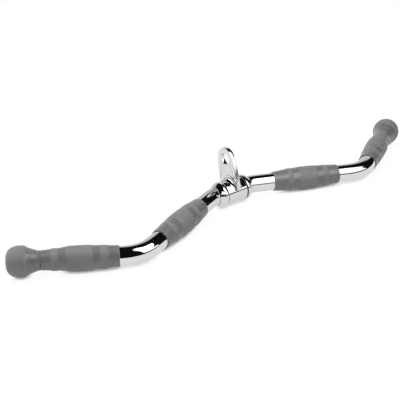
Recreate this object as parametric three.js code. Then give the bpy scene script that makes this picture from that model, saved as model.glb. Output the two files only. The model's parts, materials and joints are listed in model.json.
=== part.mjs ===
// EZ curl bar for a cable machine: a bent steel tube with four moulded rubber grips, a rubber knob
// plugged into each end, and a revolving hanger between two stop collars on the middle.
// Millimetres, +Z up. The bar lies as it does on a floor, on its knobs and inner grips, with its
// straight middle along X, and the hanger stands up from it.
import * as THREE from "three";

const degrees = THREE.MathUtils.degToRad;

// One clearance between pieces that touch, and between the bar and what turns on it
const fitGap = 0.3;

// Bent tube: each half is three straight runs joined by two bends, all in one plane
const tubeRadius = 12.7;
const tubeWall = 3;
const centreHalfRun = 29;
const innerBendAngle = degrees(22.3);
const innerBendRadius = 28;
const innerRun = 147.2;
const outerBendAngle = degrees(52.9);
const outerBendRadius = 46.4;

// Grips: barrels with raised bands, thick in the middle and thin at both ends
const gripBoreRadius = tubeRadius + fitGap;
const innerGripStart = 28.6;
const innerGripLength = 100;
const innerGripEndRadius = 13.9;
const innerGripSwell = 3;
const outerGripStart = 4.5;
const outerGripLength = 98.4;
const outerGripEndRadius = 12.9;
const outerGripSwell = 3.7;
const gripLipLength = 13;

// Knobs: a stem inside the tube, a narrow neck, a cone and a rounded end
const knobStemLength = 41;
const knobStemChamfer = 1.5;
const knobNeckRadius = 12.75;
const knobLength = 43.5;
const knobSwell = 7.45;

// Revolving hanger: a sleeve on two flanged bushings, with an eye plate saddled on it and welded
const bushingWall = 1.6;
const bushingLength = 14;
const bushingFlange = 1;
const sleeveWall = 2.4;
const sleeveHalfLength = 16.2;
const sleeveEdge = 0.5;
const plateThickness = 6.5;
const plateEdge = 0.6;
const plateTopRadius = 16.2;
const plateFootHalfWidth = 20.3;
const plateLegStart = 8;
const plateLegEnd = 3.7;
const plateFlareAngle = degrees(10.3);
const eyeRadius = 8.75;
const eyeHeight = 48.4;
const plateLean = degrees(14.5);
const weldLeg = 7;
const weldEndLeg = 3.5;
const weldToe = 0.4;
const weldHalfAngle = degrees(74);

// Stop collars: a short band beside the sleeve and a shoulder that falls to the tube
const collarRadius = 18.3;
const collarBand = 3;
const collarEdge = 0.5;
const collarShoulder = 8.3;
const collarToe = 0.5;
const shoulderPower = 1.5;

// Facets round each piece
const tubeSides = 26;
const boreSides = 14;
const rubberSides = 26;
const hubSides = 36;
const eyeSides = 28;
const innerBendSteps = 6;
const outerBendSteps = 12;
const shoulderSteps = 6;
const sideSteps = 8;
const weldSteps = 12;
const weldArcSteps = 5;

// Outlines in shares: how far along the length, and how much of the swell
const innerGripShares = [
  [0, -0.13], [0.007, 0.02], [0.096, 0.31], [0.2, 0.66], [0.213, 0.68],
  [0.222, 0.8], [0.279, 0.88], [0.288, 0.79], [0.378, 0.87], [0.389, 0.98],
  [0.45, 1], [0.52, 1], [0.59, 0.96], [0.645, 0.88], [0.656, 0.76],
  [0.75, 0.56], [0.76, 0.63], [0.817, 0.5], [0.827, 0.38], [0.92, 0.22],
  [0.993, 0.02], [1, -0.13],
];
const outerGripShares = [
  [0, 0.14], [0.008, 0.27], [0.08, 0.39], [0.146, 0.47], [0.156, 0.59],
  [0.24, 0.7], [0.25, 0.64], [0.34, 0.77], [0.354, 0.88], [0.45, 0.96],
  [0.54, 1], [0.6, 0.96], [0.664, 0.91], [0.678, 0.78], [0.76, 0.46],
  [0.772, 0.35], [0.786, 0.42], [0.86, 0.37], [0.875, 0.21], [0.92, 0.11],
  [1, 0],
];
const knobShares = [
  [0, 0], [0.1, 0.05], [0.17, 0.21], [0.228, 0.34], [0.285, 0.45], [0.343, 0.57],
  [0.4, 0.74], [0.435, 0.87], [0.45, 0.94], [0.5, 0.985], [0.56, 1], [0.64, 1],
  [0.69, 0.96], [0.738, 0.9], [0.802, 0.77], [0.871, 0.57], [0.917, 0.31], [0.949, 0.07],
  [0.975, -0.25], [0.99, -0.6],
];

const chrome = { color: 0xd4d6d8, metalness: 1, roughness: 0.08 };
const rubber = { color: 0x77787a, metalness: 0, roughness: 0.7 };
const nylon = { color: 0x1c1d1f, metalness: 0, roughness: 0.45 };

// Sizes that follow from the ones above
const sleeveBoreRadius = tubeRadius + fitGap + bushingWall + fitGap;
const sleeveRadius = sleeveBoreRadius + sleeveWall;
const collarStart = sleeveHalfLength + fitGap + bushingFlange + fitGap;
const outerRun = outerGripStart + outerGripLength - gripLipLength - fitGap;
const innerBendLength = innerBendRadius * innerBendAngle;
const outerBendLength = outerBendRadius * outerBendAngle;
const innerRunStart = centreHalfRun + innerBendLength;
const outerBendStart = innerRunStart + innerRun;
const outerRunStart = outerBendStart + outerBendLength;
const tubeHalfLength = outerRunStart + outerRun;
const innerGripPlace = innerRunStart + innerGripStart;
const outerGripPlace = outerRunStart + outerGripStart;
const knobPlace = outerGripPlace + outerGripLength + fitGap;

// A mesh under its node's name
function piece(name, geometry, finish) {
  const mesh = new THREE.Mesh(geometry, new THREE.MeshStandardMaterial(finish));
  mesh.name = name;
  return mesh;
}

// The place and heading on one half of the centreline, at a length measured from the middle.
// The inner bend turns towards -Y and the outer bend turns back past the X direction.
function halfPlace(length) {
  let x = 0;
  let y = 0;
  let heading = 0;
  let left = length;
  const runs = [
    [centreHalfRun, 0, 0],
    [innerBendLength, innerBendRadius, -1],
    [innerRun, 0, 0],
    [outerBendLength, outerBendRadius, 1],
    [outerRun, 0, 0],
  ];
  for (const [run, radius, side] of runs) {
    const step = Math.min(left, run);
    if (radius > 0) {
      const next = heading + side * (step / radius);
      x += side * radius * (Math.sin(next) - Math.sin(heading));
      y -= side * radius * (Math.cos(next) - Math.cos(heading));
      heading = next;
    } else {
      x += step * Math.cos(heading);
      y += step * Math.sin(heading);
    }
    left -= step;
  }
  return { x: x + left * Math.cos(heading), y: y + left * Math.sin(heading), heading };
}

// The lengths at which the tube gets a ring: the ends of each run, and even steps in each bend
function halfStations() {
  const stations = [centreHalfRun];
  for (let i = 1; i <= innerBendSteps; i++) {
    stations.push(centreHalfRun + (innerBendLength * i) / innerBendSteps);
  }
  stations.push(outerBendStart);
  for (let i = 1; i <= outerBendSteps; i++) {
    stations.push(outerBendStart + (outerBendLength * i) / outerBendSteps);
  }
  stations.push(tubeHalfLength);
  return stations;
}

// The centreline from the left end to the right end, with its parameter spread over the stations
class Centreline extends THREE.Curve {
  constructor() {
    super();
    const half = halfStations();
    this.stations = [...half.map((length) => -length).reverse(), ...half];
  }

  lengthAt(t) {
    const last = this.stations.length - 1;
    const place = Math.min(Math.max(t, 0), 1) * last;
    const index = Math.min(Math.floor(place), last - 1);
    return THREE.MathUtils.lerp(this.stations[index], this.stations[index + 1], place - index);
  }

  getPoint(t, target = new THREE.Vector3()) {
    const length = this.lengthAt(t);
    const place = halfPlace(Math.abs(length));
    return target.set(Math.sign(length) * place.x, place.y, 0);
  }

  getTangent(t, target = new THREE.Vector3()) {
    const length = this.lengthAt(t);
    const side = length < 0 ? -1 : 1;
    const { heading } = halfPlace(Math.abs(length));
    return target.set(Math.cos(heading), side * Math.sin(heading), 0);
  }

  getPointAt(t, target) {
    return this.getPoint(t, target);
  }

  getTangentAt(t, target) {
    return this.getTangent(t, target);
  }
}

// A circle as a closed path with a set number of sides
function circle(radius, sides, path) {
  const points = [];
  for (let i = 0; i < sides; i++) {
    const angle = (2 * Math.PI * i) / sides;
    points.push(new THREE.Vector2(radius * Math.cos(angle), radius * Math.sin(angle)));
  }
  return path.setFromPoints(points);
}

function tubeGeometry() {
  const section = circle(tubeRadius, tubeSides, new THREE.Shape());
  section.holes.push(circle(tubeRadius - tubeWall, boreSides, new THREE.Path()));
  const centreline = new Centreline();
  return new THREE.ExtrudeGeometry(section, {
    steps: centreline.stations.length - 1,
    extrudePath: centreline,
  });
}

// Turns an outline of [along, radius] points round the X axis. It starts and ends on the axis, or
// it is a loop that ends where it starts.
function revolve(outline, sides) {
  const points = outline.map(([along, radius]) => new THREE.Vector2(radius, along));
  return new THREE.LatheGeometry(points, sides).rotateZ(-Math.PI / 2);
}

function swollen(shares, length, endRadius, swell) {
  return shares.map(([along, share]) => [along * length, endRadius + share * swell]);
}

function innerGripGeometry() {
  const outside = swollen(innerGripShares, innerGripLength, innerGripEndRadius, innerGripSwell);
  const loop = [[0, gripBoreRadius], ...outside, [innerGripLength, gripBoreRadius], [0, gripBoreRadius]];
  return revolve(loop, rubberSides);
}

// The outer grip turns in over the tube's end, down to the knob's stem
function outerGripGeometry() {
  const outside = swollen(outerGripShares, outerGripLength, outerGripEndRadius, outerGripSwell);
  const lipRadius = tubeRadius - tubeWall;
  const lipStart = outerGripLength - gripLipLength;
  const loop = [
    [0, gripBoreRadius],
    ...outside,
    [outerGripLength, lipRadius],
    [lipStart, lipRadius],
    [lipStart, gripBoreRadius],
    [0, gripBoreRadius],
  ];
  return revolve(loop, rubberSides);
}

// The knob's neck starts at 0 and its stem reaches back into the tube
function knobGeometry() {
  const stemRadius = tubeRadius - tubeWall - fitGap;
  return revolve(
    [
      [-knobStemLength, 0],
      [-knobStemLength, stemRadius - knobStemChamfer],
      [knobStemChamfer - knobStemLength, stemRadius],
      [0, stemRadius],
      ...swollen(knobShares, knobLength, knobNeckRadius, knobSwell),
      [knobLength, 0],
    ],
    rubberSides,
  );
}

function sleeveGeometry() {
  const edge = sleeveRadius - sleeveEdge;
  return revolve(
    [
      [-sleeveHalfLength, sleeveBoreRadius],
      [-sleeveHalfLength, edge],
      [sleeveEdge - sleeveHalfLength, sleeveRadius],
      [sleeveHalfLength - sleeveEdge, sleeveRadius],
      [sleeveHalfLength, edge],
      [sleeveHalfLength, sleeveBoreRadius],
      [-sleeveHalfLength, sleeveBoreRadius],
    ],
    hubSides,
  );
}

// A bushing for the +X end: it lies inside the sleeve and its flange covers the sleeve's end
function bushingGeometry() {
  const bore = tubeRadius + fitGap;
  const outside = bore + bushingWall;
  const flangeStart = sleeveHalfLength + fitGap;
  const flangeEnd = flangeStart + bushingFlange;
  const inside = flangeStart - bushingLength;
  const flangeRadius = sleeveRadius - sleeveEdge;
  return revolve(
    [
      [inside, bore],
      [inside, outside],
      [flangeStart, outside],
      [flangeStart, flangeRadius],
      [flangeEnd, flangeRadius],
      [flangeEnd, bore],
      [inside, bore],
    ],
    hubSides,
  );
}

// A collar for the +X side
function collarGeometry() {
  const bore = tubeRadius + fitGap;
  const shoulderStart = collarStart + collarBand;
  const toeRadius = bore + collarToe;
  const outline = [
    [collarStart, bore],
    [collarStart, collarRadius - collarEdge],
    [collarStart + collarEdge, collarRadius],
  ];
  for (let i = 0; i <= shoulderSteps; i++) {
    const share = i / shoulderSteps;
    const fall = Math.pow(share, shoulderPower);
    outline.push([
      shoulderStart + share * collarShoulder,
      collarRadius + fall * (toeRadius - collarRadius),
    ]);
  }
  outline.push([shoulderStart + collarShoulder, bore], [collarStart, bore]);
  return revolve(outline, hubSides);
}

// The eye plate's outline, with the tube's axis at its origin and the eye above it: a round top,
// sides that flare down to two legs, and a saddle that fits the sleeve
function plateGeometry() {
  const saddleRadius = sleeveRadius + fitGap;
  const saddleAngle = Math.asin(plateLegEnd / saddleRadius);
  const shape = new THREE.Shape();
  const sideTop = {
    x: plateTopRadius * Math.cos(plateFlareAngle),
    y: eyeHeight + plateTopRadius * Math.sin(plateFlareAngle),
  };
  const bendHeight = sideTop.y - (plateFootHalfWidth - sideTop.x) / Math.tan(plateFlareAngle);
  shape.moveTo(saddleRadius * Math.cos(saddleAngle), plateLegEnd);
  shape.lineTo(plateFootHalfWidth, plateLegEnd);
  shape.lineTo(plateFootHalfWidth, plateLegStart);
  shape.quadraticCurveTo(plateFootHalfWidth, bendHeight, sideTop.x, sideTop.y);
  shape.absarc(0, eyeHeight, plateTopRadius, plateFlareAngle, Math.PI - plateFlareAngle, false);
  shape.quadraticCurveTo(-plateFootHalfWidth, bendHeight, -plateFootHalfWidth, plateLegStart);
  shape.lineTo(-plateFootHalfWidth, plateLegEnd);
  shape.lineTo(-saddleRadius * Math.cos(saddleAngle), plateLegEnd);
  shape.absarc(0, 0, saddleRadius, Math.PI - saddleAngle, saddleAngle, true);
  const eye = circle(eyeRadius, eyeSides, new THREE.Path());
  for (const curve of eye.curves) {
    curve.v1.y += eyeHeight;
    curve.v2.y += eyeHeight;
  }
  shape.holes.push(eye);
  const geometry = new THREE.ExtrudeGeometry(shape, {
    depth: plateThickness - 2 * plateEdge,
    curveSegments: sideSteps,
    bevelThickness: plateEdge,
    bevelSize: plateEdge,
    bevelOffset: -plateEdge,
    bevelSegments: 1,
  });
  geometry.translate(0, 0, plateEdge - plateThickness / 2);
  const across = new THREE.Vector3(0, 1, 0);
  const up = new THREE.Vector3(0, 0, 1);
  const through = new THREE.Vector3(1, 0, 0);
  return geometry.applyMatrix4(new THREE.Matrix4().makeBasis(across, up, through));
}

// A closed skin over rings of equal size: quads between neighbours, and a flat fan on each end
function loftGeometry(rings) {
  const count = rings[0].length;
  const index = [];
  for (let i = 0; i + 1 < rings.length; i++) {
    for (let j = 0; j < count; j++) {
      const next = (j + 1) % count;
      const a = i * count + j;
      const b = i * count + next;
      index.push(a, b + count, b, a, a + count, b + count);
    }
  }
  const last = (rings.length - 1) * count;
  for (let j = 1; j + 1 < count; j++) {
    index.push(0, j, j + 1, last, last + j + 1, last + j);
  }
  const geometry = new THREE.BufferGeometry().setFromPoints(rings.flat());
  return geometry.setIndex(index);
}

// The weld in the corner between the plate's +X face and the sleeve. Its hollow section is largest
// above the tube and shrinks towards the plate's legs.
function weldGeometry() {
  const face = plateThickness / 2 + fitGap;
  const seat = sleeveRadius + fitGap;
  const rings = [];
  for (let i = 0; i <= weldSteps; i++) {
    const share = (2 * i) / weldSteps - 1;
    const angle = share * weldHalfAngle;
    const leg = weldLeg + share * share * (weldEndLeg - weldLeg);
    const hollow = leg - weldToe;
    const section = [
      [face, seat],
      [face + leg, seat],
    ];
    for (let j = 0; j <= weldArcSteps; j++) {
      const turn = (Math.PI / 2) * (j / weldArcSteps);
      section.push([
        face + leg - hollow * Math.sin(turn),
        seat + leg - hollow * Math.cos(turn),
      ]);
    }
    section.push([face, seat + leg]);
    rings.push(
      section.map(
        ([x, radius]) =>
          new THREE.Vector3(x, radius * Math.sin(angle), radius * Math.cos(angle)),
      ),
    );
  }
  return loftGeometry(rings);
}

// A piece made for the +X side, turned half a turn about Z when it goes on the -X side
function onSide(mesh, side) {
  mesh.rotation.z = side > 0 ? 0 : Math.PI;
  return mesh;
}

// A round piece moved onto the centreline, its axis along the heading and pointing outwards
function onBar(mesh, length, side) {
  const { x, y, heading } = halfPlace(length);
  mesh.position.set(side * x, y, 0);
  mesh.rotation.z = side > 0 ? heading : Math.PI - heading;
  return mesh;
}

const sides = [
  ["left", -1],
  ["right", 1],
];

// The hanger, free to turn about the tube's straight middle
const hanger = new THREE.Group();
hanger.add(piece("swivel_sleeve", sleeveGeometry(), chrome));
hanger.add(piece("hanger_eye_plate", plateGeometry(), chrome));
for (const [name, side] of sides) {
  hanger.add(onSide(piece(`hanger_weld_${name}`, weldGeometry(), chrome), side));
  hanger.add(onSide(piece(`sleeve_bushing_${name}`, bushingGeometry(), nylon), side));
}
hanger.rotation.x = -plateLean;

// The bar with its collars, grips and knobs
const bar = new THREE.Group();
bar.add(piece("bent_tube", tubeGeometry(), chrome));
for (const [name, side] of sides) {
  const collar = piece(`stop_collar_${name}`, collarGeometry(), chrome);
  const innerGrip = piece(`inner_grip_${name}`, innerGripGeometry(), rubber);
  const outerGrip = piece(`outer_grip_${name}`, outerGripGeometry(), rubber);
  const knob = piece(`end_knob_${name}`, knobGeometry(), rubber);
  bar.add(onSide(collar, side));
  bar.add(onBar(innerGrip, innerGripPlace, side));
  bar.add(onBar(outerGrip, outerGripPlace, side));
  bar.add(onBar(knob, knobPlace, side));
}

// The lowest point of the pieces whose names start with a word
function lowest(group, word) {
  group.updateMatrixWorld(true);
  const box = new THREE.Box3();
  group.traverse((object) => {
    if (object.isMesh && object.name.startsWith(word)) {
      box.expandByObject(object, true);
    }
  });
  return box.min.z;
}

// Lets the bar tip about X until its knobs and its inner grips are equally low
const model = new THREE.Group();
model.add(bar, hanger);
let flat = 0;
let steep = Math.PI / 4;
for (let i = 0; i < 40; i++) {
  model.rotation.x = (flat + steep) / 2;
  if (lowest(model, "end_knob") < lowest(model, "inner_grip")) {
    flat = model.rotation.x;
  } else {
    steep = model.rotation.x;
  }
}

// Origin on the floor, under the middle of the bar's box
const box = new THREE.Box3().setFromObject(model, true);
const middle = box.getCenter(new THREE.Vector3());
model.position.set(-middle.x, -middle.y, -box.min.z);

const part = new THREE.Group();
part.add(model);
export default part;
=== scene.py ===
# %% [markdown]
# An EZ curl bar for a cable machine: a bent chromed tube with four rubber grips, a rubber knob in
# each end, and a hanger with an eye that turns on the tube's straight middle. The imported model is
# the fixed frame: it gives the sizes, the bodies that move and the place of the joint. Everything
# here is built around it, in metres, and nothing in it is moved.
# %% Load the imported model
import json
import math

import bmesh
import bpy
import numpy as np
from mathutils import Matrix, Vector


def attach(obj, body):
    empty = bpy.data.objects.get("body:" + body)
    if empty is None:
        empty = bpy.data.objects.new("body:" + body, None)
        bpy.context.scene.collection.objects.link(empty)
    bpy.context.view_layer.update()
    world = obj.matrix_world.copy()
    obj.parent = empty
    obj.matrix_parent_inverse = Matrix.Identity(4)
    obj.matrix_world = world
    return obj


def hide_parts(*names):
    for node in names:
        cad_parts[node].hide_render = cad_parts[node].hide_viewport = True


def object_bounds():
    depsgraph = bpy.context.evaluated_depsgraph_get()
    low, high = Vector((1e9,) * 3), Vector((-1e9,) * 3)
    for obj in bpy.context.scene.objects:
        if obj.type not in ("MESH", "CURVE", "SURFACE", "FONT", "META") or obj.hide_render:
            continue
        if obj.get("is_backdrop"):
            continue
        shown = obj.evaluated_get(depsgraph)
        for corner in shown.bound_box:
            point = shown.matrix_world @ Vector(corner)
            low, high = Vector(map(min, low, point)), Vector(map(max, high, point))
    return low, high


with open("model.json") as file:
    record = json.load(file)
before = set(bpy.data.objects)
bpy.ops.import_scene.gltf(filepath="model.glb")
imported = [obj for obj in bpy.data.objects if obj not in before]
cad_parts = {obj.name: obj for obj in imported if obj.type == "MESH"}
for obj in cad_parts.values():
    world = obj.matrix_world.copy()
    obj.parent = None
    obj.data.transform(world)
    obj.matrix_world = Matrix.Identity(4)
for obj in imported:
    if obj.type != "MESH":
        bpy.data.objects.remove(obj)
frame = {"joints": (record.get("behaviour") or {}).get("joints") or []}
cad_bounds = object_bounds()

# %% [markdown]
# A bar like this is drawn flat, so the pieces are worked out in the plane of the bends, in
# millimetres, with the middle of the hanger as zero. X runs along the straight middle, -Y is the
# front, and Z is square to the plane. The real bar lies on its knobs and inner grips, which tips
# that plane a little. Turning each object would do too, but a pattern stays where it is in the
# exported model only if the object stands unturned at the origin. So one turn and one shift move
# the points instead.
# %% From the drawing to the bar as it lies
MM = 0.001
HUB = np.array(frame["joints"][0]["pos_m"])
LIE = math.radians(4.3166)
TIP = np.array([
    [1, 0, 0],
    [0, math.cos(LIE), -math.sin(LIE)],
    [0, math.sin(LIE), math.cos(LIE)],
])


def lay(points):
    """Drawing millimetres to metres as the bar lies: turned by LIE about X, then moved to HUB."""
    return np.asarray(points, float) @ TIP.T * MM + HUB


print("hub at", HUB.round(4), "m, bar tipped by", round(math.degrees(LIE), 2), "degrees")

# %% [markdown]
# The tube is bent cold over round formers, so its centreline is made of straight runs and true
# arcs. A curve drawn through a few points would only come close to them. Along an arc the heading
# grows evenly with the length, which gives the place in closed form.
# %% The centreline
MIDDLE_RUN, INNER_STRAIGHT, SPARE_RUN = 29.0, 147.2, 400.0
INNER_ANGLE, INNER_RADIUS = math.radians(22.3), 28.0
OUTER_ANGLE, OUTER_RADIUS = math.radians(52.9), 46.4
TO_FRONT, STRAIGHT, TO_BACK = -1, 0, 1
RUNS = [  # for one half: the length, the radius and the way it bends
    (MIDDLE_RUN, 0.0, STRAIGHT),
    (INNER_RADIUS * INNER_ANGLE, INNER_RADIUS, TO_FRONT),
    (INNER_STRAIGHT, 0.0, STRAIGHT),
    (OUTER_RADIUS * OUTER_ANGLE, OUTER_RADIUS, TO_BACK),
    (SPARE_RUN, 0.0, STRAIGHT),
]
INNER_RUN, OUTER_BEND, OUTER_RUN = np.cumsum([run for run, _, _ in RUNS])[1:4]


def centreline(length):
    """Place and heading at a length from the middle, for a whole array of lengths at once.
    A straight run adds step * (cos h, sin h). An arc of radius r adds r times the change of
    (sin h, -cos h), with the sign of its way. The left half is the mirror of the right."""
    length = np.asarray(length, float)
    to_go = np.abs(length)
    x, y, heading = np.zeros_like(to_go), np.zeros_like(to_go), np.zeros_like(to_go)
    for run, radius, way in RUNS:
        step = np.clip(to_go, 0, run)
        if way == STRAIGHT:
            x += step * np.cos(heading)
            y += step * np.sin(heading)
        else:
            bent = heading + way * step / radius
            x += way * radius * (np.sin(bent) - np.sin(heading))
            y -= way * radius * (np.cos(bent) - np.cos(heading))
            heading = bent
        to_go = to_go - step
    mirror = np.where(length < 0, -1.0, 1.0)
    return mirror * x, y, mirror * heading


reach, _, lean = centreline(OUTER_RUN)
print("outer runs start", reach.round(1), "mm out and head", np.degrees(lean).round(1), "degrees")

# %% [markdown]
# Every piece is a surface with two parameters, one along it and one across it. numpy works out the
# whole grid of its points at once, and one function makes a mesh of any such grid. Pushing points
# about by hand would need the same steps again for each piece.
# %% A mesh from a grid of points
SMOOTH_BELOW = math.radians(32)
SAME_PLACE = 1e-7  # metres between points that count as one


def skin(name, grid, across, along, **marks):
    """A mesh over a grid of rows and columns, whose last column lies on its first. Quads join
    neighbours, and points that coincide are merged, which closes the seam and the poles. The
    UV map holds millimetres, and each mark is a number per point that a material can read."""
    rows, columns = grid.shape[:2]
    number = np.arange(rows * columns).reshape(rows, columns)
    corners = [number[:-1, :-1], number[:-1, 1:], number[1:, 1:], number[1:, :-1]]
    quads = np.stack([corner.ravel() for corner in corners], 1)
    mesh = bpy.data.meshes.new(name)
    mesh.from_pydata(lay(grid.reshape(-1, 3)), [], quads.tolist())
    chart = np.stack([across.ravel(), along.ravel()], 1)[quads.ravel()]
    mesh.uv_layers.new(name="drawn").data.foreach_set("uv", chart.ravel())
    for label, values in marks.items():
        mark = mesh.attributes.new(label, "FLOAT", "POINT")
        mark.data.foreach_set("value", values.astype(np.float32).ravel())
    work = bmesh.new()
    work.from_mesh(mesh)
    bmesh.ops.remove_doubles(work, verts=work.verts, dist=SAME_PLACE)
    bmesh.ops.recalc_face_normals(work, faces=work.faces)
    work.to_mesh(mesh)
    work.free()
    mesh.shade_smooth()
    mesh.set_sharp_from_angle(angle=SMOOTH_BELOW)
    piece = bpy.data.objects.new(name, mesh)
    bpy.context.scene.collection.objects.link(piece)
    return piece


print("faces shade smoothly up to", round(math.degrees(SMOOTH_BELOW)), "degrees apart")

# %% [markdown]
# Nearly every piece is round about that centreline: tube, sleeve, collars, bushings, grips and
# knobs. Spinning a profile about an axis would not follow the bends. So a profile gives a length
# and a radius at each of its points, and each point is carried round a ring that stands square to
# the centreline. Real corners are never quite sharp, so profiles get small rounds first.
# %% A profile carried round the centreline
ROUND_SIDES, CORNER_POINTS = 128, 5
HAIR = 0.05  # millimetres taken off every radius
MOST_OF_SIDE = 0.45


def turned(name, lengths, radii, side=1, **marks):
    """The point at length s, radius r and angle a is C(s) + r * (cos a * N(s) + sin a * Z), where
    C is the centreline, N points sideways in its plane and Z is the plane's normal. The radius is
    a hair under its size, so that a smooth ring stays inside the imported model's facets."""
    radii = np.maximum(radii - HAIR, 0)
    x, y, heading = centreline(side * lengths)
    angle = np.linspace(0, 2 * math.pi, ROUND_SIDES + 1)
    sideways = np.stack([-np.sin(heading), np.cos(heading), 0 * heading], 1)
    ring = np.cos(angle)[None, :, None] * sideways[:, None, :]
    ring = ring + np.sin(angle)[None, :, None] * np.array([0.0, 0.0, 1.0])
    grid = np.stack([x, y, 0 * x], 1)[:, None, :] + radii[:, None, None] * ring
    along = np.broadcast_to(lengths[:, None], grid.shape[:2])
    across = radii[:, None] * angle[None, :]
    marks = {key: np.broadcast_to(mark[:, None], along.shape) for key, mark in marks.items()}
    return skin(name, grid, across, along, **marks)


def bow(start, middle, end, count):
    """B(t) = (1-t)^2 P + 2t(1-t) M + t^2 Q, a curve that leaves P and meets Q towards M."""
    share = np.linspace(0, 1, count)[:, None]
    start, middle, end = np.array(start), np.array(middle), np.array(end)
    return (1 - share) ** 2 * start + 2 * share * (1 - share) * middle + share**2 * end


def rounded(corners, cut):
    """Rounds a profile's corners: each becomes a bow towards the corner, from one side to the
    other. It starts and ends up to `cut` millimetres from the corner, and never past
    MOST_OF_SIDE of a side, which leaves room for the next corner's bow."""
    corners = np.asarray(corners, float)
    path = [corners[:1]]
    for before, corner, after in zip(corners[:-2], corners[1:-1], corners[2:]):
        back, ahead = before - corner, after - corner
        start = corner + back * min(MOST_OF_SIDE, cut / np.linalg.norm(back))
        end = corner + ahead * min(MOST_OF_SIDE, cut / np.linalg.norm(ahead))
        path.append(bow(start, corner, end, CORNER_POINTS))
    return np.concatenate(path + [corners[-1:]])


print("rings of", ROUND_SIDES, "sides, and", CORNER_POINTS, "points to a rounded corner")

# %% [markdown]
# The tube is chromed steel, 25.4 mm across. A solid rod would look the same from outside, but the
# real one is a pipe. So it is drawn as a loop, out along the outer wall and back along the bore,
# and has open ends under the grips' lips. Pieces that touch in the real bar keep a small gap here,
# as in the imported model.
# %% Bent tube
TUBE, WALL, GAP = 12.7, 3.0, 0.3  # its radius, its wall, and the gap between neighbours
OUTER_GRIP_AFTER_BEND, OUTER_GRIP_LENGTH = 4.5, 98.4
LIP = 13.0  # how far an outer grip runs on past the tube's end
OUTER_GRIP = OUTER_RUN + OUTER_GRIP_AFTER_BEND
TUBE_END = OUTER_GRIP + OUTER_GRIP_LENGTH - LIP - GAP
STOPS = [0, MIDDLE_RUN, INNER_RUN, OUTER_BEND, OUTER_RUN, TUBE_END]
RINGS_ON_RUN = [9, 10, 12, 30, 8]


def stations():
    """Lengths for the tube's rings: evenly from stop to stop, 1.5 mm apart or less in the bends
    and far apart on the straight runs, and the same to the left."""
    half = [np.linspace(*run) for run in zip(STOPS[:-1], STOPS[1:], RINGS_ON_RUN)]
    half = np.unique(np.concatenate(half))
    return np.concatenate([-half[:0:-1], half])


rings = stations()
outer_wall, bore_wall = np.full_like(rings, TUBE), np.full_like(rings, TUBE - WALL)
tube = turned(
    "tube",
    np.concatenate([rings, rings[::-1], rings[:1]]),
    np.concatenate([outer_wall, bore_wall, outer_wall[:1]]),
)
print("tube:", len(rings), "rings,", round(2 * TUBE_END), "mm along its centreline")

# %% [markdown]
# The grips are moulded rubber barrels. Raised bands with a matte grain alternate with smooth satin
# rings, and both ends thin down to the tube. Painting the bands on would do from afar, but their
# steps show in the outline. The outline is kept in shares, as a moulder's drawing does: how far
# along the grip, and how much of the swell. Rounding its corners gives the soft edges of rubber,
# and a mark per point says where the surface is matte.
# %% Drawings of the grips
BORE = TUBE + GAP
INNER_GRIP_AFTER_BEND, INNER_GRIP_LENGTH = 28.6, 100.0
INNER_GRIP = INNER_RUN + INNER_GRIP_AFTER_BEND
INNER_GRIP_END, INNER_SWELL = 13.9, 3.0
OUTER_GRIP_END, OUTER_SWELL = 12.9, 3.7
INNER_SHAPE = [
    [0, -0.13], [0.007, 0.02], [0.096, 0.31], [0.2, 0.66], [0.213, 0.68],
    [0.222, 0.8], [0.279, 0.88], [0.288, 0.79], [0.378, 0.87], [0.389, 0.98],
    [0.45, 1], [0.52, 1], [0.59, 0.96], [0.645, 0.88], [0.656, 0.76],
    [0.75, 0.56], [0.76, 0.63], [0.817, 0.5], [0.827, 0.38], [0.92, 0.22],
    [0.993, 0.02], [1, -0.13],
]
OUTER_SHAPE = [
    [0, 0.14], [0.008, 0.27], [0.08, 0.39], [0.146, 0.47], [0.156, 0.59],
    [0.24, 0.7], [0.25, 0.64], [0.34, 0.77], [0.354, 0.88], [0.45, 0.96],
    [0.54, 1], [0.6, 0.96], [0.664, 0.91], [0.678, 0.78], [0.76, 0.46],
    [0.772, 0.35], [0.786, 0.42], [0.86, 0.37], [0.875, 0.21], [0.92, 0.11],
    [1, 0],
]
INNER_MATTE = [(0.215, 0.285), (0.383, 0.652), (0.755, 0.822)]
OUTER_MATTE = [(0.151, 0.245), (0.348, 0.671), (0.78, 0.868)]
INNER_HOLE = [[0, BORE], [INNER_GRIP_LENGTH, BORE]]
MOUTH = OUTER_GRIP_LENGTH - LIP
OUTER_HOLE = [[0, BORE], [MOUTH, BORE], [MOUTH, TUBE - WALL], [OUTER_GRIP_LENGTH, TUBE - WALL]]
GRIPS = {
    "inner": (INNER_GRIP, INNER_GRIP_LENGTH, INNER_GRIP_END, INNER_SWELL,
              INNER_SHAPE, INNER_MATTE, INNER_HOLE),
    "outer": (OUTER_GRIP, OUTER_GRIP_LENGTH, OUTER_GRIP_END, OUTER_SWELL,
              OUTER_SHAPE, OUTER_MATTE, OUTER_HOLE),
}
print("matte bands:", len(INNER_MATTE), "on an inner grip,", len(OUTER_MATTE), "on an outer one")

# %% Grips
SIDES = [("left", -1), ("right", 1)]
GRIP_ROUND, GRIP_STEP, BAND_FADE = 0.7, 0.5, 0.5
END_POINTS = 5


def soft_steps(lengths, bands, edge):
    """1 inside each band and 0 outside, with an S-shaped step, t * t * (3 - 2t), of width `edge`
    at each end."""
    total = np.zeros_like(lengths)
    for low, high in bands:
        rise = np.clip((lengths - low) / edge + 0.5, 0, 1)
        fall = np.clip((high - lengths) / edge + 0.5, 0, 1)
        total += (rise * rise * (3 - 2 * rise)) * (fall * fall * (3 - 2 * fall))
    return total


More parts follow.
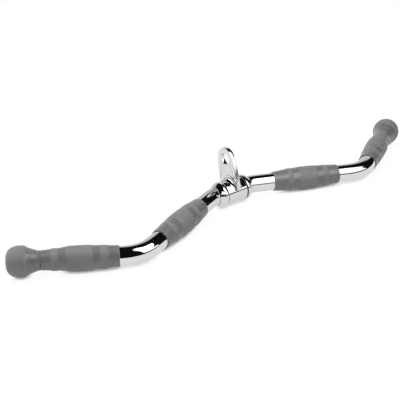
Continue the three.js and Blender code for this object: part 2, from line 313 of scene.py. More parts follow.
def grip(name, start, length, end_radius, swell, shape, matte, inside, side):
    """A grip's outline at radius = end + swell * share, with soft corners, then back along its
    bore to where it began. Between the end points, which stand square to the tube, the outline
    is read again at even steps."""
    shape, inside = np.array(shape, float), np.array(inside, float)
    outer = np.stack([shape[:, 0] * length, end_radius + swell * shape[:, 1]], 1)
    outer = rounded(np.concatenate([inside[:1], outer, inside[-1:]]), GRIP_ROUND)
    first, last = outer[:END_POINTS], outer[-END_POINTS:]
    spine = np.unique(np.concatenate([outer[:, 0], np.arange(GRIP_STEP, length, GRIP_STEP)]))
    spine = spine[(spine > first[-1, 0]) & (spine < last[0, 0])]
    body = np.stack([spine, np.interp(spine, outer[:, 0], outer[:, 1])], 1)
    loop = np.concatenate([first, body, last, inside[::-1], outer[:1]])
    bands = [(low * length, high * length) for low, high in matte]
    grain = soft_steps(loop[:, 0], bands, BAND_FADE)
    return turned(name, start + loop[:, 0], loop[:, 1], side, grain=grain)


grips = [
    grip(f"{kind}_grip_rubber_{label}", *drawing, side)
    for label, side in SIDES
    for kind, drawing in GRIPS.items()
]
print("grips:", [len(piece.data.polygons) for piece in grips], "faces")

# %% [markdown]
# A knob is one moulding: a stem plugged into the tube, a narrow neck and a flared, rounded end. A
# scaled ball would miss the neck, so it is turned from a profile too. The profile starts and ends
# on the axis, so the merged points there close it.
# %% Knobs
KNOB = OUTER_GRIP + OUTER_GRIP_LENGTH + GAP
KNOB_LENGTH, NECK, FLARE = 43.5, 12.75, 7.45
KNOB_SHAPE = np.array([
    [0, 0], [0.1, 0.05], [0.17, 0.21], [0.228, 0.34], [0.285, 0.45], [0.343, 0.57],
    [0.4, 0.74], [0.435, 0.87], [0.45, 0.94], [0.5, 0.985], [0.56, 1], [0.64, 1],
    [0.69, 0.96], [0.738, 0.9], [0.802, 0.77], [0.871, 0.57], [0.917, 0.31], [0.949, 0.07],
    [0.975, -0.25], [0.99, -0.6],
])
KNOB_ROUND, HEAD_FADE = 1.2, 1.2
MATTE_HEAD = (0.385 * KNOB_LENGTH, math.inf)
STEM, STEM_LENGTH, TAPER = TUBE - WALL - GAP, 41.0, 1.5
stem = [[-STEM_LENGTH, 0], [-STEM_LENGTH, STEM - TAPER], [TAPER - STEM_LENGTH, STEM], [0, STEM]]
dome = np.stack([KNOB_SHAPE[:, 0] * KNOB_LENGTH, NECK + FLARE * KNOB_SHAPE[:, 1]], 1)
knob = rounded(np.concatenate([stem, dome, [[KNOB_LENGTH, 0]]]), KNOB_ROUND)
matte = soft_steps(knob[:, 0], [MATTE_HEAD], HEAD_FADE)
knobs = [
    turned(f"end_knob_rubber_{label}", KNOB + knob[:, 0], knob[:, 1], side, grain=matte)
    for label, side in SIDES
]
print("knobs:", [len(piece.data.polygons) for piece in knobs], "faces")

# %% [markdown]
# The hanger turns on the bar, so it rides on its own body. The sleeve is a short chromed pipe with
# a flanged nylon bushing in each end, whose edge is the dark line beside each collar. The collars
# are fixed on the tube: a short band, then a shoulder that falls to the tube like a bell. Bevelled
# cylinders would do for the sleeve, but not for the flange and the bell, so all three are turned
# from profiles. These are loops with their seam in the bore, where there is no corner to round.
# %% Sleeve
BUSHING_WALL = 1.6
SLEEVE_HALF, SLEEVE_WALL, SLEEVE_ROUND = 16.2, 2.4, 0.7
SLEEVE_BORE = BORE + BUSHING_WALL + GAP
SLEEVE = SLEEVE_BORE + SLEEVE_WALL
SLEEVE_SEAM = 2 - SLEEVE_HALF
wall = rounded([
    [SLEEVE_SEAM, SLEEVE_BORE], [-SLEEVE_HALF, SLEEVE_BORE], [-SLEEVE_HALF, SLEEVE],
    [SLEEVE_HALF, SLEEVE], [SLEEVE_HALF, SLEEVE_BORE], [SLEEVE_SEAM, SLEEVE_BORE],
], SLEEVE_ROUND)
sleeve = turned("sleeve", wall[:, 0], wall[:, 1])
print("sleeve:", round(2 * SLEEVE_HALF, 1), "mm long and", round(2 * SLEEVE, 1), "mm across")

# %% Bushings and collars
BUSHING_LENGTH, BUSHING_ROUND = 13.0, 0.2
FLANGE_WIDTH, FLANGE_UNDER_SLEEVE = 1.0, 0.5
COLLAR_RADIUS, COLLAR_BAND, COLLAR_ROUND = 18.3, 3.0, 0.5
BELL_LENGTH, BELL_LIP, BELL_POWER, BELL_POINTS = 8.3, 0.5, 1.5, 15
FLANGE = SLEEVE_HALF + GAP
COLLAR = FLANGE + FLANGE_WIDTH + GAP
COLLAR_END = COLLAR + COLLAR_BAND + BELL_LENGTH
BUSHING_SEAM, COLLAR_SEAM = FLANGE - 10, COLLAR + 5
inner_end, outer_end = FLANGE - BUSHING_LENGTH, FLANGE + FLANGE_WIDTH
barrel, flange_top = BORE + BUSHING_WALL, SLEEVE - FLANGE_UNDER_SLEEVE
bushing = rounded([
    [BUSHING_SEAM, BORE], [inner_end, BORE], [inner_end, barrel], [FLANGE, barrel],
    [FLANGE, flange_top], [outer_end, flange_top], [outer_end, BORE], [BUSHING_SEAM, BORE],
], BUSHING_ROUND)
share = np.linspace(0, 1, BELL_POINTS)
fall = COLLAR_RADIUS + (BORE + BELL_LIP - COLLAR_RADIUS) * share**BELL_POWER
bell = np.stack([COLLAR + COLLAR_BAND + BELL_LENGTH * share, fall], 1)
collar = rounded(np.concatenate([
    [[COLLAR_SEAM, BORE], [COLLAR, BORE], [COLLAR, COLLAR_RADIUS]],
    bell,
    [[COLLAR_END, BORE], [COLLAR_SEAM, BORE]],
]), COLLAR_ROUND)
bushings, collars = [], []
for label, side in SIDES:
    bushings.append(turned(f"bushing_{label}", bushing[:, 0], bushing[:, 1], side))
    collars.append(turned(f"collar_{label}", collar[:, 0], collar[:, 1], side))
print("hub:", round(2 * COLLAR_END, 1), "mm from collar end to collar end")

# %% [markdown]
# The eye plate is cut from flat bar: a round top about the eye, sides that flare to two legs, and
# a saddle that fits the sleeve. Cutting the hole and the saddle with booleans would leave ragged
# faces that spoil a mirror. So two closed curves with matching points, the outline and the eye,
# span its faces. One parameter runs along the curves, and the other goes round the thickness, over
# broken edges.
# %% Outline of the eye plate
EYE, EYE_HEIGHT = 8.75, 48.4  # its radius, and its height above the tube's axis
FLARE_ANGLE, TOP_RADIUS, FOOT_HALF = 10.3, 16.2, 20.3
FOOT_HEIGHT, FOOT_PULL, LEG_HEIGHT = 3.7, 2.0, 8.0
FOOT_POINTS, SIDE_POINTS, TOP_POINTS, SADDLE_POINTS = 5, 24, 49, 57
EYE_ARCS = [(-12, 6), (8, 172), (174, 192), (194, 346)]


def arc(radius, start, end, count, height=0.0):
    """Points at (radius * cos a, height + radius * sin a), with a in degrees from start to end."""
    angle = np.radians(np.linspace(start, end, count))
    return np.stack([radius * np.cos(angle), height + radius * np.sin(angle)], 1)


def closed(loop):
    """The loop with its first point once more at its end."""
    return np.concatenate([loop, loop[:1]])


def plate_outline():
    """The outline and, for each of its points, the point of the eye that it is ruled to. From
    the right foot, the outline goes up the leg and the flared side, over the top, down the left
    and back round the saddle. The eye's four arcs match these, two degrees apart."""
    seat = SLEEVE + GAP
    tip = math.degrees(math.asin(FOOT_HEIGHT / seat))
    side = arc(TOP_RADIUS, FLARE_ANGLE, FLARE_ANGLE, 1, EYE_HEIGHT)[0]
    bend = side[1] - (FOOT_HALF - side[0]) / math.tan(math.radians(FLARE_ANGLE))
    foot, pull, leg, bend = ([FOOT_HALF, height] for height in (
        FOOT_HEIGHT, FOOT_HEIGHT + FOOT_PULL, LEG_HEIGHT, bend
    ))
    right = np.concatenate([
        bow(foot, pull, leg, FOOT_POINTS)[:-1],
        bow(leg, bend, side, SIDE_POINTS)[:-1],
    ])
    dome = arc(TOP_RADIUS, FLARE_ANGLE, 180 - FLARE_ANGLE, TOP_POINTS, EYE_HEIGHT)
    left = right[::-1] * [-1, 1]
    saddle = arc(seat, 180 - tip, tip, SADDLE_POINTS)
    parts = [right, dome, left, saddle]
    eye = [
        arc(EYE, start, end, len(part), EYE_HEIGHT)
        for (start, end), part in zip(EYE_ARCS, parts)
    ]
    return closed(np.concatenate(parts)), closed(np.concatenate(eye))


print("plate outline:", len(plate_outline()[0]) - 1, "points")

# %% Eye plate
PLATE, EDGE, EDGE_POINTS = 6.5, 0.8, 5  # its thickness, and how far its edges are broken
PLATE_LEAN = math.radians(14.5)
POLISHED_ROWS = 2
ACROSS = np.array([0.0, math.cos(PLATE_LEAN), -math.sin(PLATE_LEAN)])
UPWARD = np.array([0.0, math.sin(PLATE_LEAN), math.cos(PLATE_LEAN)])
THROUGH = np.array([1.0, 0.0, 0.0])


def inward(loop, depth):
    """The loop moved to its inner side by a depth, square to the line between the neighbours."""
    ahead = np.roll(loop[:-1], -1, 0) - np.roll(loop[:-1], 1, 0)
    normal = np.stack([-ahead[:, 1], ahead[:, 0]], 1)
    normal /= np.linalg.norm(normal, axis=1)[:, None]
    return closed(loop[:-1] + depth * normal)


def plate_grid():
    """Round the thickness: broken outer edge, rim, broken edge, face, eye wall and back. At the
    angle k, a broken edge stands EDGE * (1 - sin k) inside the outline and EDGE * (1 - cos k)
    under the face. The mark is 1 on the ground rim, between the polished rows."""
    outline, eye = plate_outline()
    outline = inward(outline, HAIR)
    turn = np.radians(np.linspace(0, 90, EDGE_POINTS))
    edge = [(EDGE * (1 - math.sin(k)), PLATE / 2 - EDGE * (1 - math.cos(k))) for k in turn]
    rows = [(inward(outline, inset), depth) for inset, depth in edge]
    rows += [(inward(outline, inset), -depth) for inset, depth in edge[::-1]]
    rows += [(inward(eye, -inset), -depth) for inset, depth in edge]
    rows += [(inward(eye, -inset), depth) for inset, depth in edge[::-1]]
    rows.append(rows[0])
    flat = np.array([loop for loop, _ in rows])
    depth = np.array([depth for _, depth in rows])[:, None, None]
    ground = np.zeros(len(rows))
    ground[POLISHED_ROWS:2 * EDGE_POINTS - POLISHED_ROWS] = 1
    grid = flat[..., :1] * ACROSS + flat[..., 1:] * UPWARD + depth * THROUGH
    return grid, np.broadcast_to(ground[:, None], grid.shape[:2])


grid, rim = plate_grid()
plate = skin("eye_plate", grid, grid[..., 1], grid[..., 2], ground=rim)
print("eye plate:", len(plate.data.polygons), "faces")

# %% [markdown]
# A weld bead fills the corner between each face of the plate and the sleeve. It is a fillet with
# a hollow face, deepest above the tube and fading towards the legs, and its surface keeps the
# faint overlapping ripples of the torch under the chrome. A bevel between plate and sleeve would
# join two pieces that are separate here, so the bead is a surface of its own.
# %% Welds
WELD_HALF, WELD_POINTS, HOLLOW_POINTS = math.radians(74), 161, 17
WELD_LEG, WELD_FADE, WELD_TOE = 7.0, 3.5, 0.4
RIPPLES, RIPPLE_DEPTH = 26, 0.006


def weld(name, side):
    """For each angle w about the tube, the section is a quarter hollow of radius h, set in the
    corner between plate and sleeve. h falls with w squared. The ripple is 1 + a * |sin(n w)|.
    The end rows shrink to the corner's own point."""
    share = np.linspace(-1, 1, WELD_POINTS)[:, None]
    angle = share * WELD_HALF
    leg = WELD_LEG - WELD_FADE * share**2
    hollow = (leg - WELD_TOE) * (1 + RIPPLE_DEPTH * np.abs(np.sin(RIPPLES * angle)))
    turn = np.radians(np.linspace(0, 90, HOLLOW_POINTS))
    root, seat = np.full_like(leg, PLATE / 2 + GAP), np.full_like(leg, SLEEVE + GAP)
    x = [root, root + leg, root + leg - hollow * np.sin(turn), root, root]
    out = [seat, seat, seat + leg - hollow * np.cos(turn), seat + leg, seat]
    x, out = (np.pad(np.concatenate(part, 1), [(1, 1), (0, 0)], "edge") for part in (x, out))
    x[[0, -1]], out[[0, -1]] = root[0], seat[0]
    angle = np.pad(angle, [(1, 1), (0, 0)], "edge")
    sideways, up = out * np.sin(angle), out * np.cos(angle)
    grid = (side * x)[..., None] * THROUGH + sideways[..., None] * ACROSS + up[..., None] * UPWARD
    return skin(name, grid, x, out * angle)


welds = [weld(f"weld_{label}", side) for label, side in SIDES]
print("welds:", [len(piece.data.polygons) for piece in welds], "faces")

# %% [markdown]
# A finish is a tree of nodes. Linking them one by one is slow to write and to read. Shader maths
# reads like ordinary sums when a small class wraps a socket and turns each operator into a Math
# node. A second class holds one tree and makes every other node.
# %% Shader maths as Python expressions


class Field:
    """A number that varies over a surface: one output socket of a material's node tree."""

    def __init__(self, finish, socket):
        self.finish, self.socket = finish, socket

    def math(self, operation, *values):
        """A Math node on numbers and fields."""
        return self.finish.node("ShaderNodeMath", {"operation": operation}, values)

    def __add__(self, other):
        return self.math("ADD", self, other)

    def __sub__(self, other):
        return self.math("SUBTRACT", self, other)

    def __rsub__(self, other):
        return self.math("SUBTRACT", other, self)

    def __mul__(self, other):
        return self.math("MULTIPLY", self, other)

    def __abs__(self):
        return self.math("ABSOLUTE", self)

    __radd__, __rmul__ = __add__, __mul__

    def between(self, low, high):
        """0 below low, 1 above high and an S-shaped step from one to the other."""
        shape, values = {"interpolation_type": "SMOOTHSTEP"}, [self, low, high, 0.0, 1.0]
        return self.finish.node("ShaderNodeMapRange", shape, values, "Result")


print("a field takes part in +, -, * and abs()")

# %% One tree of nodes


class Finish:
    """One node tree, in which each call to node() adds a node and returns one of its outputs."""

    def __init__(self, tree):
        self.tree = tree

    def node(self, kind, settings, values, output=0):
        """Settings are set first. Values go to inputs by name or by number, fields as links."""
        added = self.tree.nodes.new(kind)
        for key, value in settings.items():
            setattr(added, key, value)
        for key, value in values.items() if isinstance(values, dict) else enumerate(values):
            if isinstance(value, Field):
                self.tree.links.new(value.socket, added.inputs[key])
            else:
                added.inputs[key].default_value = value
        return Field(self, added.outputs[output])

    def close(self, surface, kind="ShaderNodeOutputMaterial"):
        """Joins the finished surface to the tree's output."""
        output = self.tree.nodes.new(kind)
        self.tree.links.new(surface.socket, output.inputs["Surface"])


def new_finish(name):
    """A material with an empty tree."""
    material = bpy.data.materials.new(name)
    material.use_nodes = True
    material.node_tree.nodes.clear()
    return material, Finish(material.node_tree)


kinds = [kind for kind in dir(bpy.types) if kind.startswith("ShaderNode")]
print("node() can make any of", len(kinds), "kinds of shader node")

# %% Noise, blended colours and bumps


def noise(f, place, scale, detail, roughness=0.5):
    """Random values about 0.5. `detail` finer layers each add `roughness` times the last one."""
    values = {"Vector": place, "Scale": scale, "Detail": detail, "Roughness": roughness}
    return f.node("ShaderNodeTexNoise", {}, values, "Fac")


def blend(f, share, low, high):
    """A colour from low to high by a share: inputs 6 and 7 and output 2 of the Mix node."""
    return f.node("ShaderNodeMix", {"data_type": "RGBA"}, {0: share, 6: low, 7: high}, 2)


def bump(f, height, strength, distance):
    """The normal of a surface raised by distance * height, in metres. The strength scales it."""
    values = {"Height": height, "Strength": strength, "Distance": distance}
    return f.node("ShaderNodeBump", {}, values, "Normal")


print("helpers:", [helper.__name__ for helper in (noise, blend, bump)])

# %% [markdown]
# Chrome is a mirror over polished steel. What the eye reads as chrome is the studio in it, and a
# painted reflection would stand still when the view moves. So the surface itself only gets what
# polishing and use leave: faint lines round the turned pieces and along the tube, a slow haze with
# duller patches here and there, and a rim of the plate that is ground and not polished.
# %% Chrome
MIRROR_ROUGH, LINE_ROUGH, GROUND_ROUGH = 0.045, 0.03, 0.1
TUBE_HAZE, HUB_HAZE = 0.05, 0.06
HAZE_RANGE, LINE_RANGE, TONE_RANGE = (0.45, 0.75), (0.35, 0.8), (0.3, 0.7)
COOL_CHROME, WARM_CHROME = (0.86, 0.87, 0.88, 1.0), (0.9, 0.9, 0.9, 1.0)
LINES_ALONG, LINES_ROUND = (3.0, 0.05, 1.0), (0.05, 3.0, 1.0)


def chrome(name, lines, haze):
    """Mirror metal. Roughness = base + haze + the polishing lines, stretched along one axis, and
    more on the ground rim."""
    material, f = new_finish(name)
    chart = f.node("ShaderNodeUVMap", {"uv_map": "drawn"}, {}, "UV")
    place = f.node("ShaderNodeTexCoord", {}, {}, "Object")
    stretch = f.node("ShaderNodeMapping", {}, {"Vector": chart, "Scale": lines}, "Vector")
    polish = noise(f, stretch, scale=1.0, detail=3.0)
    cloud = noise(f, place, scale=45.0, detail=4.0)
    ground = f.node("ShaderNodeAttribute", {"attribute_name": "ground"}, {}, "Fac")
    rough = MIRROR_ROUGH + haze * cloud.between(*HAZE_RANGE)
    rough = rough + LINE_ROUGH * polish.between(*LINE_RANGE) + GROUND_ROUGH * ground
    surface = f.node("ShaderNodeBsdfPrincipled", {}, {
        "Base Color": blend(f, cloud.between(*TONE_RANGE), COOL_CHROME, WARM_CHROME),
        "Metallic": 1.0,
        "Roughness": rough,
        "Normal": bump(f, polish, strength=0.02, distance=0.0002),
    })
    f.close(surface)
    return material


tube_chrome = chrome("chrome_tube", LINES_ALONG, TUBE_HAZE)
hub_chrome = chrome("chrome_hub", LINES_ROUND, HUB_HAZE)
print("chrome:", [len(chromed.node_tree.nodes) for chromed in (tube_chrome, hub_chrome)], "nodes")

# %% [markdown]
# The rubber is a neutral grey compound. The raised bands come from a blasted mould and are matte
# and a little lighter, while the rings between them are smooth, darker and take a soft sheen. Two
# materials would meet at a hard line, so one finish reads the mark that each grip carries along
# its profile and goes softly from one to the other.
# %% Rubber
MATTE_GREY, SATIN_GREY = (0.19, 0.19, 0.193, 1.0), (0.164, 0.164, 0.168, 1.0)
TONE_BASE, TONE_GRAIN, TONE_MOTTLE = 0.1, 0.7, 1.6
ROUGH_BASE, ROUGH_GRAIN, ROUGH_MOTTLE = 0.25, 0.33, 0.25
SATIN_PORES = 0.15


def rubber(name, matte, satin):
    """Matte where the mark `grain` is 1: pores in the bump and a pale tone. Satin where it is 0.
    Tone and roughness are each base + a * grain + b * mottle, and the mottle varies about 0."""
    material, f = new_finish(name)
    grain = f.node("ShaderNodeAttribute", {"attribute_name": "grain"}, {}, "Fac")
    place = f.node("ShaderNodeTexCoord", {}, {}, "Object")
    pores = noise(f, place, scale=1600.0, detail=3.0)
    mottle = noise(f, place, scale=170.0, detail=5.0, roughness=0.65) - 0.5
    tone = (TONE_BASE + TONE_GRAIN * grain + TONE_MOTTLE * mottle).between(0.0, 1.0)
    height = pores * (SATIN_PORES + (1 - SATIN_PORES) * grain)
    surface = f.node("ShaderNodeBsdfPrincipled", {}, {
        "Base Color": blend(f, tone, satin, matte),
        "Roughness": ROUGH_BASE + ROUGH_GRAIN * grain + ROUGH_MOTTLE * mottle,
        "Normal": bump(f, height, strength=0.35, distance=0.0003),
        "Specular IOR Level": 0.75,
        "Sheen Weight": 0.25,
        "Sheen Roughness": 0.4,
    })
    f.close(surface)
    return material


grip_rubber = rubber("grip_rubber", MATTE_GREY, SATIN_GREY)
print("rubber:", len(grip_rubber.node_tree.nodes), "nodes")

# %% [markdown]
# The bushings show only as a thin dark line. Nylon is smooth and near black. A flat black would do
# at this size, but a faint mottle keeps it real from close by.
# %% Nylon
DEEP_BLACK, WORN_BLACK = (0.012, 0.012, 0.013, 1.0), (0.03, 0.03, 0.031, 1.0)
NYLON_ROUGH, NYLON_DRIFT = 0.35, 0.2


def nylon(name):
    """Near-black plastic whose roughness and tone drift a little from place to place."""
    material, f = new_finish(name)
    place = f.node("ShaderNodeTexCoord", {}, {}, "Object")
    cloud = noise(f, place, scale=300.0, detail=3.0)
    surface = f.node("ShaderNodeBsdfPrincipled", {}, {
        "Base Color": blend(f, cloud, DEEP_BLACK, WORN_BLACK),
        "Roughness": NYLON_ROUGH + NYLON_DRIFT * cloud,
    })
    f.close(surface)
    return material


black_nylon = nylon("bushing_nylon")
print("nylon:", len(black_nylon.node_tree.nodes), "nodes")

# %% [markdown]
# Each piece now gets its finish in a material slot and the body that it moves with, and the CAD
# node that it stands for is hidden. One call per piece keeps the three together, like a row of a
# parts list. The hanger's pieces ride on the hanger, and the rest on the bar.
# %% Dress the pieces
dressed = []


def dress(piece, material, body, node):
    """One row of the parts list."""
    piece.data.materials.append(material)
    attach(piece, body)
    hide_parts(node)
    dressed.append(piece.name)


dress(tube, tube_chrome, "bar", "bent_tube")
dress(sleeve, hub_chrome, "hanger", "swivel_sleeve")
dress(plate, hub_chrome, "hanger", "hanger_eye_plate")
for (label, _), bead, ring, stop, end in zip(SIDES, welds, bushings, collars, knobs):
    dress(bead, hub_chrome, "hanger", f"hanger_weld_{label}")
    dress(ring, black_nylon, "hanger", f"sleeve_bushing_{label}")
    dress(stop, hub_chrome, "bar", f"stop_collar_{label}")
    dress(end, grip_rubber, "bar", f"end_knob_{label}")
for piece in grips:
    node = piece.name.replace("_rubber", "")
    dress(piece, grip_rubber, "bar", node)
print("dressed", len(dressed), "pieces")

# %% [markdown]
# The bar is photographed on white. A table that glows would light the bar from below. So the table
# is plain pale paint, lit like the rest, and only the camera sees it close to white, with the bar's
# shadow faint in it. In the narrow gap just under the bar an occlusion mask takes the white away,
# so the paint's real shade shows there as a dark line. Mirrors see a plain glow with a painted
# shade
# of the bar in it: the glow is a little darker near the bar.
# %% Floor
TABLE_SIZE, TABLE_DROP = 4.0, 0.0005
WHITE, PALE = (1.0, 1.0, 1.0, 1.0), (0.8, 0.8, 0.8, 1.0)
CAMERA_WHITE, WHITE_SHARE = 1.03, 0.93
SHADOW_GAP, OPEN_AIR = 0.006, 0.5
# the near glow is darker than the far one: a painted shade of the bar on the table, seen only by
# mirrors
FAR_GLOW, SHADED_NEAR_GLOW, GLOW_REACH, GLOW_SHARE = 0.8, 0.72, 0.15, 0.9


def glow(f, strength, kind="Emission"):
    """White light of a strength, from a surface or, as Background, from the world."""
    return f.node(f"ShaderNode{kind}", {}, {"Color": WHITE, "Strength": strength}, kind)


def choose(f, share, low, high):
    """The low shader where the share is 0, the high one where it is 1, and mixed between."""
    return f.node("ShaderNodeMixShader", {}, [share, low, high])


def table():
    """The camera sees lit paint under a share of white. That share falls where the Ambient
    Occlusion node finds little open air above the point, within SHADOW_GAP, and there the paint's
    real shade shows. Mirror rays see a far glow and a darker near one, mixed by
    exp(-distance / GLOW_REACH): the darker near glow is a painted shade of the bar."""
    material, f = new_finish("table")
    camera_ray = f.node("ShaderNodeLightPath", {}, {}, "Is Camera Ray")
    mirror_ray = f.node("ShaderNodeLightPath", {}, {}, "Is Glossy Ray")
    place = f.node("ShaderNodeTexCoord", {}, {}, "Object")
    distance = f.node("ShaderNodeVectorMath", {"operation": "LENGTH"}, [place], "Value")
    # the share of the painted shade: 1 at the table's centre, under the bar, fading outwards
    near_shade = distance.math("EXPONENT", distance * (-1 / GLOW_REACH))
    air = f.node("ShaderNodeAmbientOcclusion", {"samples": 4}, {"Distance": SHADOW_GAP}, "AO")
    paint = f.node("ShaderNodeBsdfDiffuse", {}, {"Color": PALE}, "BSDF")
    white_share = camera_ray * (WHITE_SHARE * air.between(0.0, OPEN_AIR))
    seen = choose(f, white_share, paint, glow(f, CAMERA_WHITE))
    # mirrors see the glow with the painted shade of the bar near it
    mirrored = choose(f, near_shade, glow(f, FAR_GLOW), glow(f, SHADED_NEAR_GLOW))
    f.close(choose(f, mirror_ray * GLOW_SHARE, seen, mirrored))
    return material


bpy.ops.mesh.primitive_plane_add(size=TABLE_SIZE, location=(0, 0, -TABLE_DROP))
floor = bpy.context.object
floor.name = "floor"
floor.data.materials.append(table())
floor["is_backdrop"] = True
print("table:", TABLE_SIZE, "m wide")

# %% [markdown]
# Past the table there is only the world. Walls could stand there, but rays that miss everything
# cost nothing. Mirrors see a dark room with a pale backdrop behind the bar, up to a height, which
# gives chrome its black and white. The camera sees white, and other rays an even soft light.
# %% Backdrop and dark room
RIGHT_EDGE, LEFT_EDGE, TOP_EDGE = (1.83, 1.97), (2.27, 2.41), (0.52, 0.64)
ROOM_GLOW, BACKDROP_GLOW, SOFT_LIGHT, SEEN_WHITE = 0.004, 0.56, 0.4, 1.0


def room():
    """The world by the direction of the ray. The azimuth, from the front towards +X, is
    atan2(x, -y). The backdrop fills the azimuths beyond 109 degrees on the right and 134 on the
    left, up to an elevation whose sine is 0.58."""
    world = bpy.data.worlds.new("room")
    bpy.context.scene.world = world
    world.use_nodes = True
    world.node_tree.nodes.clear()
    f = Finish(world.node_tree)
    look = f.node("ShaderNodeTexCoord", {}, {}, "Generated")
    side, depth, height = (f.node("ShaderNodeSeparateXYZ", {}, [look], axis) for axis in "XYZ")
    azimuth = side.math("ARCTAN2", side, 0 - depth)
    camera_ray = f.node("ShaderNodeLightPath", {}, {}, "Is Camera Ray")
    mirror_ray = f.node("ShaderNodeLightPath", {}, {}, "Is Glossy Ray")
    behind = azimuth.between(*RIGHT_EDGE) + (0 - azimuth).between(*LEFT_EDGE)
    backdrop = behind * (1 - height.between(*TOP_EDGE))
    strengths = (ROOM_GLOW, BACKDROP_GLOW, SOFT_LIGHT, SEEN_WHITE)
    dark, pale, soft, white = (glow(f, strength, "Background") for strength in strengths)
    lit = choose(f, mirror_ray, soft, choose(f, backdrop, dark, pale))
    f.close(choose(f, camera_ray, lit, white), "ShaderNodeOutputWorld")


room()
print("room:", len(bpy.context.scene.world.node_tree.nodes), "nodes")

# %% [markdown]
# Chrome shows the studio more than itself, so the studio is laid out for its mirror image: a soft
# box in front, a long one nearly overhead on the right, small cards by the right bend and the hub,
# a low wall in front with a dark gap under it, and a box behind on the left. Area lamps would
# light the rubber and the table too. These cards glow for mirror rays alone, and their edges fade
# like a soft box's.
# %% A card that only mirrors see
CARD_FADE, FOOT_FADE = 0.02, 0.012
UNDER_TABLE = -1.0


def direction(azimuth, elevation):
    """The unit vector at an azimuth, from the front towards +X, and an elevation, in degrees."""
    a, e = math.radians(azimuth), math.radians(elevation)
    return np.array([math.sin(a) * math.cos(e), -math.cos(a) * math.cos(e), math.sin(e)])


def card(name, place, facing, size, glow_strength, roll=0, foot=UNDER_TABLE):
    """A glowing rectangle. Its place is (azimuth, elevation, distance) from the origin, it faces
    back along the direction `facing`, and nothing of it shows below the height `foot`. Its glow
    fades with the distance from each edge, length * (0.5 - |u - 0.5|), over twice CARD_FADE."""
    width, height = size[0] + 2 * CARD_FADE, size[1] + 2 * CARD_FADE
    normal = -direction(*facing)
    level = np.array([math.cos(math.radians(facing[0])), math.sin(math.radians(facing[0])), 0.0])
    turn = Matrix(np.stack([level, np.cross(normal, level), normal], 1).tolist()).to_4x4()
    bpy.ops.mesh.primitive_plane_add(size=1.0)
    sheet = bpy.context.object
    sheet.name = name
    sheet.matrix_world = (
        Matrix.Translation(Vector(direction(*place[:2]) * place[2]))
        @ turn
        @ Matrix.Rotation(math.radians(roll), 4, "Z")
        @ Matrix.Diagonal((width, height, 1.0, 1.0))
    )
    material, f = new_finish(name)
    chart = f.node("ShaderNodeTexCoord", {}, {}, "UV")
    point = f.node("ShaderNodeNewGeometry", {}, {}, "Position")
    above = f.node("ShaderNodeSeparateXYZ", {}, [point], "Z")
    full = above.between(foot - FOOT_FADE, foot + FOOT_FADE)
    for axis, length in (("X", width), ("Y", height)):
        share = f.node("ShaderNodeSeparateXYZ", {}, [chart], axis)
        inside = (0.5 - abs(share - 0.5)) * length
        full = full * inside.between(0.0, 2 * CARD_FADE)
    clear = f.node("ShaderNodeBsdfTransparent", {}, {}, "BSDF")
    f.close(choose(f, full, clear, glow(f, glow_strength)))
    sheet.data.materials.append(material)
    sheet.visible_camera = sheet.visible_diffuse = sheet.visible_shadow = False
    sheet.visible_transmission = sheet.visible_volume_scatter = False
    sheet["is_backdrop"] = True
    print("card", name, "glows with", glow_strength)


print("the front is", direction(0, 0).round(), "and overhead is", direction(0, 90).round())

# %% The cards in their places
card("soft_box", (19, 41, 0.61), (43, 61), (0.38, 0.66), 3.0, roll=19.5)
card("long_box", (47, 66, 1.6), (40, 60), (0.3, 0.9), 2.0)
card("near_card", (61.3, 23.9, 0.339), (-27.5, 44.3), (0.13, 0.1), 1.6)
card("hub_card", (-33.6, 36.5, 0.197), (-52.2, 16.2), (0.12, 0.08), 1.2)
card("front_wall", (34.5, 17, 0.508), (0, 0), (0.65, 0.16), 1.2, foot=0.095)
card("left_box", (-115, 32, 0.9), (-115, 25), (0.7, 0.35), 1.6, foot=0.09)

# %% [markdown]
# The cards give rubber its sheen but light nothing, so its own grey needs lamps besides the room's
# soft light: a key high above the bar, and one behind that lifts the tops of the grips. A small
# hard lamp would throw a sharp shadow, which a studio avoids. Mirrors don't see the lamps, because
# the cards are there for them.
# %% Lamps


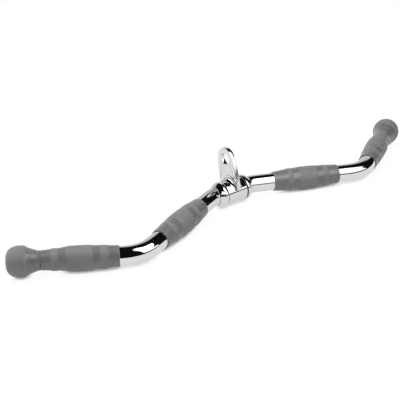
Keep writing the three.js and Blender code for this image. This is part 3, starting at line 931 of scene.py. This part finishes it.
def lamp(name, place, aim, size, power):
    """A square soft lamp at a place, turned to face its aim. Mirrors do not see it."""
    light = bpy.data.lights.new(name, "AREA")
    light.shape, light.size, light.energy = "SQUARE", size, power
    light_object = bpy.data.objects.new(name, light)
    light_object.location = place
    light_object.rotation_euler = (Vector(aim) - Vector(place)).to_track_quat("-Z", "Y").to_euler()
    light_object.visible_glossy = False
    bpy.context.scene.collection.objects.link(light_object)
    print("lamp", name, "gives", power, "W")


lamp("key", place=(-0.3, 0.1, 1.4), aim=(-0.05, 0, 0), size=0.7, power=14.5)
lamp("back", place=(-0.3, 1.0, 1.2), aim=(0, 0, 0), size=1.0, power=6.0)

# %% [markdown]
# The camera was found by fitting the bent centreline and the radii to the photograph. It could be
# set by eye, but then no outline would fall in its place. It is written in the drawing's own axes,
# so it is laid down with the bar and sees it from the same side.
# %% Camera
AZIMUTH, ELEVATION, DISTANCE = -36.571, 28.796, 1276.91
AIM = np.array([-52.32, 4.76, 0.0])
FOCAL_PIXELS, PHOTO_PIXELS, SENSOR = 909.82, 400.0, 36.0
away = direction(AZIMUTH, ELEVATION)
right = np.cross([0.0, 0.0, 1.0], away)
right /= np.linalg.norm(right)
axes = TIP @ np.stack([right, np.cross(away, right), away], 1)
camera = bpy.data.objects.new("camera", bpy.data.cameras.new("camera"))
camera.data.sensor_width = SENSOR
camera.data.lens = FOCAL_PIXELS / PHOTO_PIXELS * SENSOR
place = lay(AIM + DISTANCE * away)
camera.matrix_world = Matrix.Translation(Vector(place)) @ Matrix(axes.tolist()).to_4x4()
bpy.context.scene.collection.objects.link(camera)
bpy.context.scene.camera = camera
bpy.context.scene.view_settings.view_transform = "Standard"
print("camera at", place.round(3), "m, lens", round(camera.data.lens, 2), "mm")

# %% [markdown]
# Last, the sizes: the visual model has to stay inside the imported model's box. The boxes could
# be compared by eye in a render, but a few millimetres would not show, so both are printed.
# %% Print the boxes and finish
boxes = {"cad": cad_bounds, "visual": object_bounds()}
boxes = {key: [[float(v) for v in corner] for corner in box] for key, box in boxes.items()}
print("cad box", np.round(boxes["cad"], 4).tolist())
print("visual box", np.round(boxes["visual"], 4).tolist())
